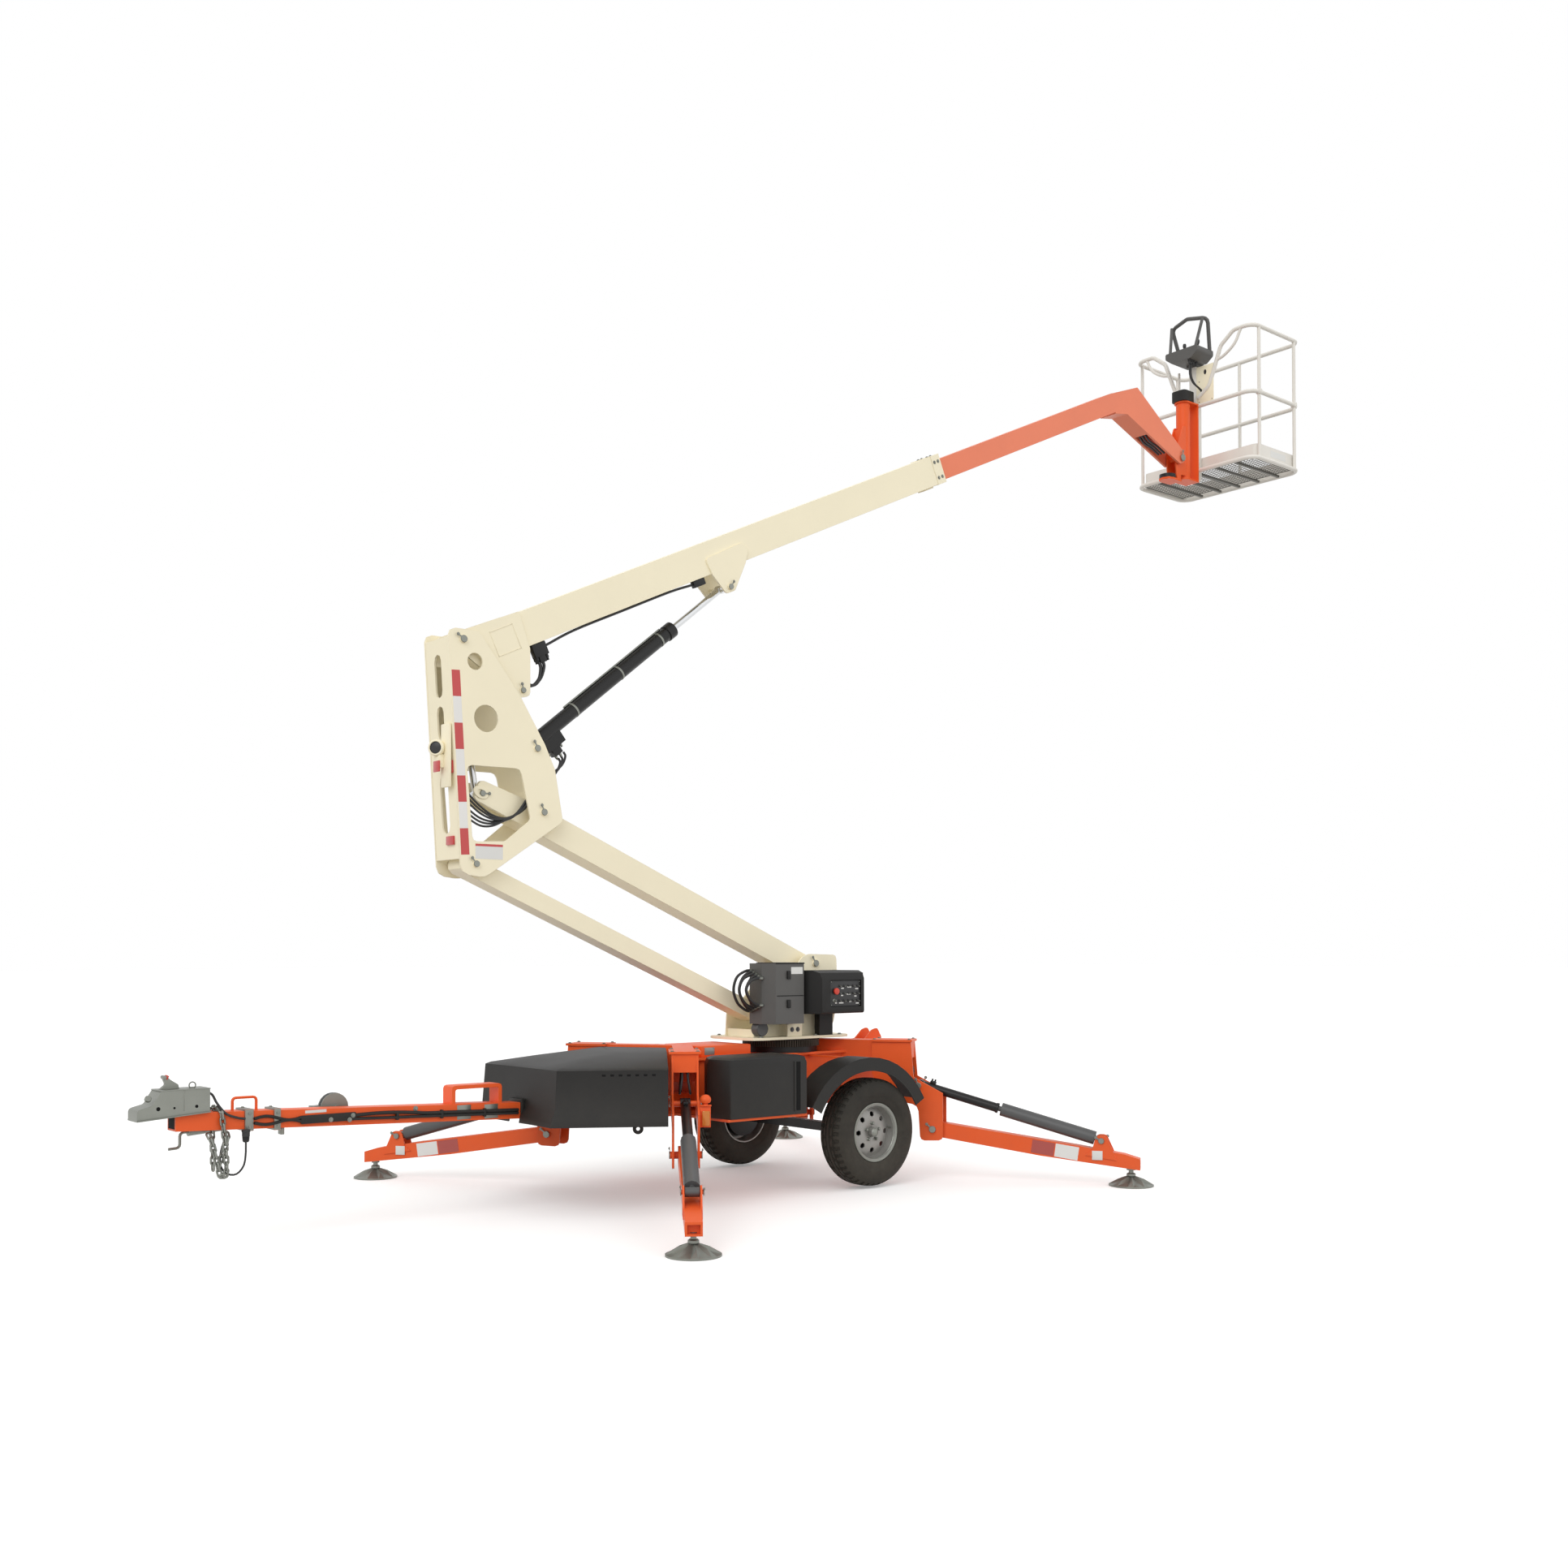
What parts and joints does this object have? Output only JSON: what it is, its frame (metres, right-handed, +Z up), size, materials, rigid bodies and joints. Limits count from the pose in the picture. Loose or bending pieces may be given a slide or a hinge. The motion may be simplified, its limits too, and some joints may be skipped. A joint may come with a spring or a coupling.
{
  "type": "towable boom lift",
  "caption": "Towable articulated boom lift standing on its outriggers, with a slewing turret, a parallelogram tower, a telescopic boom and a work platform.",
  "frame": {"origin": "on the ground under the middle of the lift's overall length, on its centre line", "axes": "+Z up, +X to the rear, where the boom reaches here, -X to the coupler, -Y to the ground controls' side"},
  "size_m": [9.8625, 3.9338, 7.1452],
  "materials": {
    "orange": "gloss orange paint",
    "cream": "gloss cream paint",
    "black_paint": "black paint",
    "grey_paint": "dark grey paint",
    "rubber_hose": "matt black hose",
    "dark_plastic": "moulded, matt",
    "grey_plastic": "moulded, matt",
    "red_plastic": "gloss",
    "chrome_rod": "hard chromed",
    "galvanised": "galvanised",
    "silver": "silver paint",
    "tyre": "matt rubber",
    "rail": "pale grey paint",
    "grate": "worn open grating"
  },
  "bodies": {
    "chassis": {"chassis_frame": "orange", "tongue": "orange", "coupler": "galvanised", "slewing_ring": "black_paint", "front_hood": "dark_plastic", "side_cover_left": "dark_plastic", "side_cover_right": "dark_plastic", "fender_left": "dark_plastic", "fender_right": "dark_plastic", "axle": "black_paint", "coupler_latch": "galvanised", "tongue_conduit": "dark_plastic", "tongue_jack": "galvanised", "safety_chain": "galvanised", "tow_plug": "black_paint", "tow_cable": "rubber_hose"},
    "turntable": {"turret": "cream", "pump_cover": "grey_plastic", "ground_controls": "grey_plastic", "ground_stop": "red_plastic", "turret_hose": "rubber_hose"},
    "upper_link": {"upper_link": "cream"},
    "lower_link": {"lower_link": "cream"},
    "upright": {"upright": "cream", "tower_hose": "rubber_hose"},
    "tower_barrel": {"tower_cylinder_barrel": "black_paint"},
    "tower_rod": {"tower_cylinder_rod": "chrome_rod"},
    "upper_boom": {"upper_boom": "cream"},
    "boom_barrel": {"boom_cylinder_barrel": "black_paint"},
    "boom_rod": {"boom_cylinder_rod": "chrome_rod"},
    "fly_boom": {"fly_boom": "orange"},
    "platform_support": {"platform_support": "orange", "support_ring": "black_paint"},
    "basket": {"basket_carrier": "orange", "carrier_cap": "dark_plastic", "basket_frame": "rail", "basket_floor": "grate", "toe_boards": "rail", "platform_console": "grey_plastic", "platform_cable": "rubber_hose"},
    "wheel_left": {"tyre_left": "tyre", "wheel_left": "silver"},
    "wheel_right": {"tyre_right": "tyre", "wheel_right": "silver"},
    "outrigger_front_left": {"outrigger_arm_front_left": "orange", "outrigger_pad_front_left": "galvanised"},
    "outrigger_barrel_front_left": {"outrigger_barrel_front_left": "black_paint"},
    "outrigger_rod_front_left": {"outrigger_rod_front_left": "grey_paint"},
    "outrigger_front_right": {"outrigger_arm_front_right": "orange", "outrigger_pad_front_right": "galvanised"},
    "outrigger_barrel_front_right": {"outrigger_barrel_front_right": "black_paint"},
    "outrigger_rod_front_right": {"outrigger_rod_front_right": "grey_paint"},
    "outrigger_rear_left": {"outrigger_arm_rear_left": "orange", "outrigger_pad_rear_left": "galvanised"},
    "outrigger_barrel_rear_left": {"outrigger_barrel_rear_left": "black_paint"},
    "outrigger_rod_rear_left": {"outrigger_rod_rear_left": "grey_paint"},
    "outrigger_rear_right": {"outrigger_arm_rear_right": "orange", "outrigger_pad_rear_right": "galvanised"},
    "outrigger_barrel_rear_right": {"outrigger_barrel_rear_right": "black_paint"},
    "outrigger_rod_rear_right": {"outrigger_rod_rear_right": "grey_paint"}
  },
  "joints": [
    {"name": "slew", "type": "hinge", "parent": "chassis", "child": "turntable", "pos_m": [-0.59453, 0, 0], "axis": [0, 0, 1], "range_deg": [-179, 179]},
    {"name": "tower_lift", "type": "hinge", "parent": "turntable", "child": "upper_link", "pos_m": [-0.41553, 0, 1.472], "axis": [0, 1, 0], "range_deg": [-29.8, 45]},
    {"name": "lower_link_swing", "type": "hinge", "parent": "turntable", "child": "lower_link", "pos_m": [-0.87353, 0, 1.146], "axis": [0, 1, 0], "range_deg": [-30, 45.2]},
    {"name": "upright_level", "type": "hinge", "parent": "upper_link", "child": "upright", "pos_m": [-2.58068, 0, 2.39328], "axis": [0, 1, 0], "range_deg": [-45.2, 30]},
    {"name": "tower_cylinder_swing", "type": "hinge", "parent": "upright", "child": "tower_barrel", "pos_m": [-3.08068, 0, 3.26528], "axis": [0, -1, 0], "range_deg": [-9.88, 14.81]},
    {"name": "tower_cylinder_stroke", "type": "slide", "parent": "tower_barrel", "child": "tower_rod", "axis": [0.1527, 0, -0.9883], "range_m": [-0.2304, 0.1532]},
    {"name": "boom_lift", "type": "hinge", "parent": "upright", "child": "upper_boom", "pos_m": [-3.12468, 0, 3.37028], "axis": [0, -1, 0], "range_deg": [-23, 33]},
    {"name": "boom_cylinder_swing", "type": "hinge", "parent": "upright", "child": "boom_barrel", "pos_m": [-2.62768, 0, 2.77428], "axis": [0, -1, 0], "range_deg": [-22.55, 32.27]},
    {"name": "boom_cylinder_stroke", "type": "slide", "parent": "boom_barrel", "child": "boom_rod", "axis": [0.7825, 0, 0.6226], "range_m": [-0.3058, 0.4379]},
    {"name": "fly_extend", "type": "slide", "parent": "upper_boom", "child": "fly_boom", "axis": [0.9065, 0, 0.4223], "range_m": [-2.05, 0.1]},
    {"name": "platform_level", "type": "hinge", "parent": "fly_boom", "child": "platform_support", "pos_m": [3.91753, 0, 5.84138], "axis": [0, 1, 0], "range_deg": [-23.2, 33.2]},
    {"name": "platform_turn", "type": "hinge", "parent": "platform_support", "child": "basket", "pos_m": [4.04753, 0, 5.84138], "axis": [0, 0, 1], "range_deg": [-45, 45]},
    {"name": "outrigger_front_left_lower", "type": "hinge", "parent": "chassis", "child": "outrigger_front_left", "pos_m": [-1.96315, -0.74691, 0.345], "axis": [-0.8191, 0.5736, 0], "range_deg": [0, 95]},
    {"name": "outrigger_front_left_cylinder_swing", "type": "hinge", "parent": "chassis", "child": "outrigger_barrel_front_left", "pos_m": [-1.90866, -0.66909, 0.64], "axis": [-0.8191, 0.5736, 0], "range_deg": [-0.2, 102.8]},
    {"name": "outrigger_front_left_cylinder_stroke", "type": "slide", "parent": "outrigger_barrel_front_left", "child": "outrigger_rod_front_left", "axis": [-0.5519, -0.7882, -0.2724], "range_m": [-0.4385, 0.002]},
    {"name": "outrigger_front_right_lower", "type": "hinge", "parent": "chassis", "child": "outrigger_front_right", "pos_m": [-1.96315, 0.74691, 0.345], "axis": [0.8191, 0.5736, 0], "range_deg": [0, 95]},
    {"name": "outrigger_front_right_cylinder_swing", "type": "hinge", "parent": "chassis", "child": "outrigger_barrel_front_right", "pos_m": [-1.90866, 0.66909, 0.64], "axis": [0.8191, 0.5736, 0], "range_deg": [-0.2, 102.8]},
    {"name": "outrigger_front_right_cylinder_stroke", "type": "slide", "parent": "outrigger_barrel_front_right", "child": "outrigger_rod_front_right", "axis": [-0.5519, 0.7882, -0.2724], "range_m": [-0.4385, 0.002]},
    {"name": "outrigger_rear_left_lower", "type": "hinge", "parent": "chassis", "child": "outrigger_rear_left", "pos_m": [0.19408, -0.69691, 0.345], "axis": [-0.8191, -0.5736, 0], "range_deg": [0, 95]},
    {"name": "outrigger_rear_left_cylinder_swing", "type": "hinge", "parent": "chassis", "child": "outrigger_barrel_rear_left", "pos_m": [0.13959, -0.61909, 0.64], "axis": [-0.8191, -0.5736, 0], "range_deg": [-0.2, 102.8]},
    {"name": "outrigger_rear_left_cylinder_stroke", "type": "slide", "parent": "outrigger_barrel_rear_left", "child": "outrigger_rod_rear_left", "axis": [0.5519, -0.7882, -0.2724], "range_m": [-0.4385, 0.002]},
    {"name": "outrigger_rear_right_lower", "type": "hinge", "parent": "chassis", "child": "outrigger_rear_right", "pos_m": [0.19408, 0.69691, 0.345], "axis": [0.8191, -0.5736, 0], "range_deg": [0, 95]},
    {"name": "outrigger_rear_right_cylinder_swing", "type": "hinge", "parent": "chassis", "child": "outrigger_barrel_rear_right", "pos_m": [0.13959, 0.61909, 0.64], "axis": [0.8191, -0.5736, 0], "range_deg": [-0.2, 102.8]},
    {"name": "outrigger_rear_right_cylinder_stroke", "type": "slide", "parent": "outrigger_barrel_rear_right", "child": "outrigger_rod_rear_right", "axis": [0.5519, 0.7882, -0.2724], "range_m": [-0.4385, 0.002]},
    {"name": "wheel_left_roll", "type": "hinge", "parent": "chassis", "child": "wheel_left", "pos_m": [-0.42453, -0.683, 0.366], "axis": [0, 1, 0], "continuous": true},
    {"name": "wheel_right_roll", "type": "hinge", "parent": "chassis", "child": "wheel_right", "pos_m": [-0.42453, 0.683, 0.366], "axis": [0, 1, 0], "continuous": true}
  ],
  "couplings": [
    {"joint": "lower_link_swing", "follows": "tower_lift", "ratio": 1},
    {"joint": "upright_level", "follows": "tower_lift", "ratio": -1},
    {"joint": "tower_cylinder_swing", "follows": "tower_lift", "ratio": 0.32467},
    {"joint": "tower_cylinder_stroke", "follows": "tower_lift", "m_per_rad": -0.29076},
    {"joint": "boom_cylinder_swing", "follows": "boom_lift", "ratio": 0.97181},
    {"joint": "boom_cylinder_stroke", "follows": "boom_lift", "m_per_rad": 0.75678},
    {"joint": "platform_level", "follows": "boom_lift", "ratio": 1},
    {"joint": "outrigger_front_left_cylinder_swing", "follows": "outrigger_front_left_lower", "ratio": 1.08},
    {"joint": "outrigger_front_left_cylinder_stroke", "follows": "outrigger_front_left_lower", "m_per_rad": -0.26323},
    {"joint": "outrigger_front_right_cylinder_swing", "follows": "outrigger_front_right_lower", "ratio": 1.08},
    {"joint": "outrigger_front_right_cylinder_stroke", "follows": "outrigger_front_right_lower", "m_per_rad": -0.26323},
    {"joint": "outrigger_rear_left_cylinder_swing", "follows": "outrigger_rear_left_lower", "ratio": 1.08},
    {"joint": "outrigger_rear_left_cylinder_stroke", "follows": "outrigger_rear_left_lower", "m_per_rad": -0.26323},
    {"joint": "outrigger_rear_right_cylinder_swing", "follows": "outrigger_rear_right_lower", "ratio": 1.08},
    {"joint": "outrigger_rear_right_cylinder_stroke", "follows": "outrigger_rear_right_lower", "m_per_rad": -0.26323}
  ]
}
